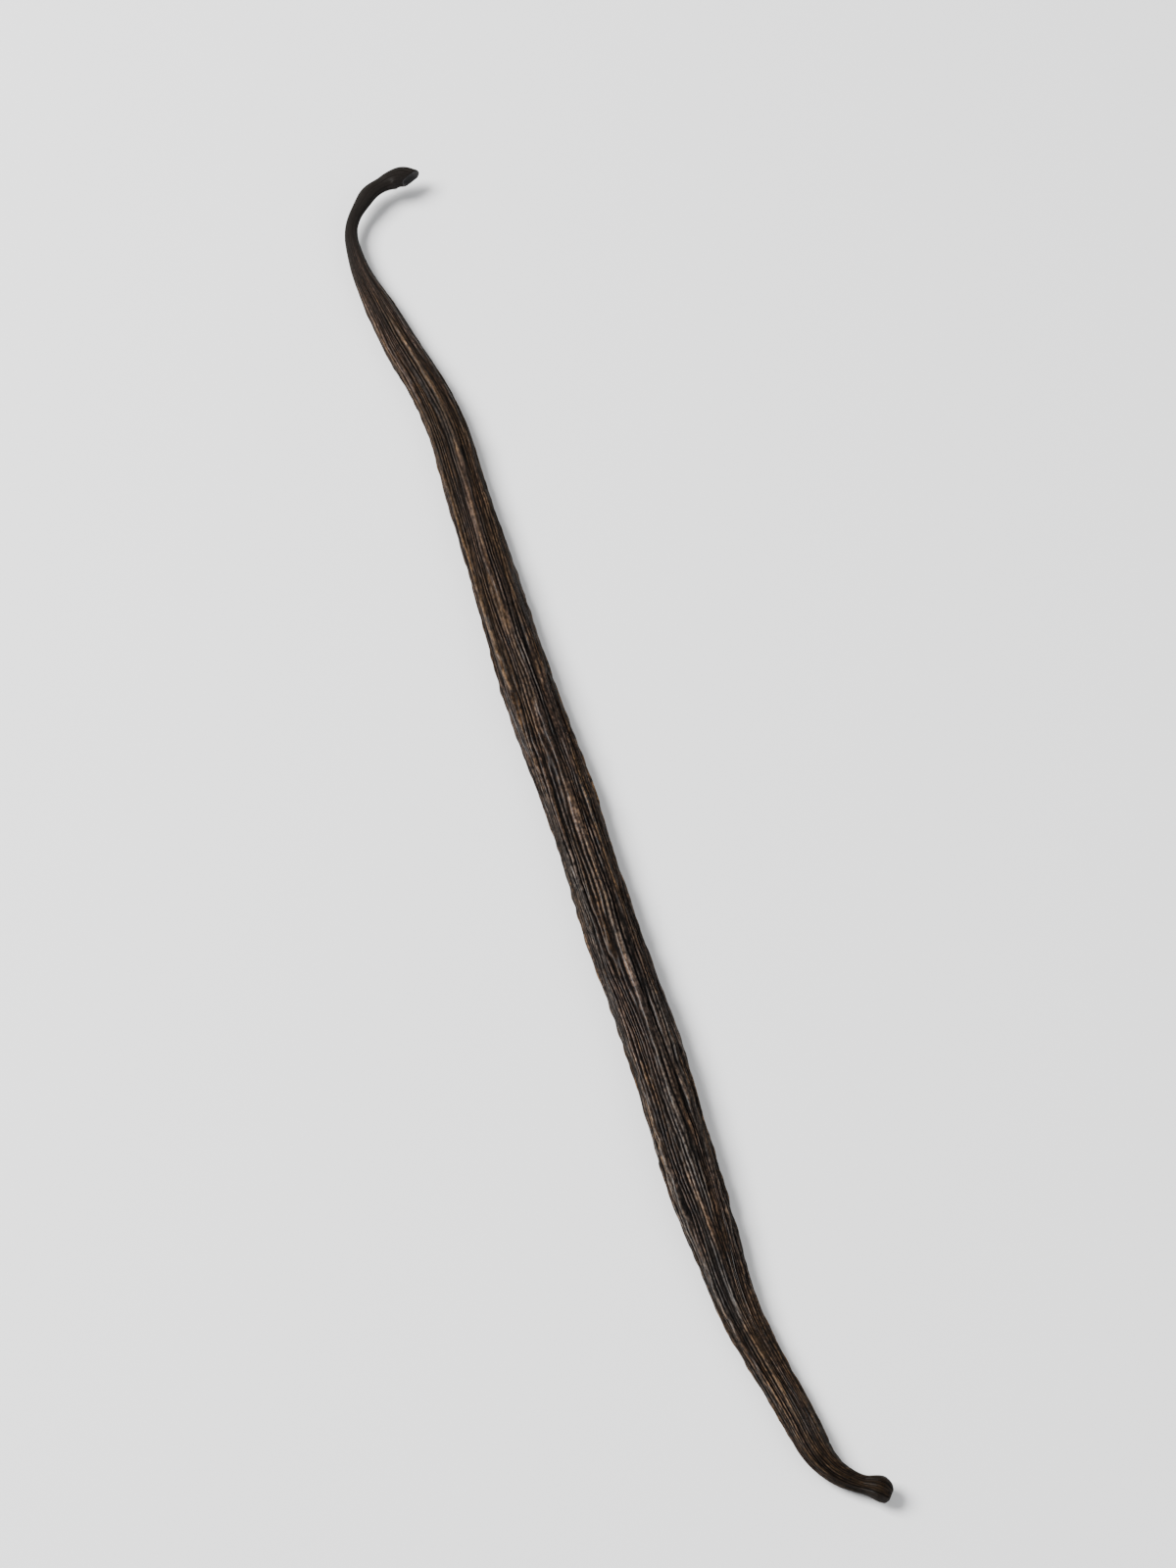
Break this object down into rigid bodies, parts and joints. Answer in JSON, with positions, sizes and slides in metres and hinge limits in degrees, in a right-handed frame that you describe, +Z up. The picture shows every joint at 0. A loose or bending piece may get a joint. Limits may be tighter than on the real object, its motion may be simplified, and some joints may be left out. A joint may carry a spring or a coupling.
{
  "type": "vanilla pod",
  "caption": "Cured vanilla pod lying flat: a long, slender, wrinkled dark seed pod with a hooked stalk end and a curled blossom tip.",
  "frame": {"origin": "middle of the pod's bounding box, on the surface it lies on", "axes": "+Y along the pod towards the hooked stalk end, +Z up, +X to the side that both the hook and the blossom tip turn to"},
  "size_m": [0.016, 0.1852, 0.0046],
  "materials": {
    "skin": "dark brown, wrinkled and slightly oily"
  },
  "bodies": {
    "root": {"vanilla_pod": "skin"}
  },
  "joints": []
}
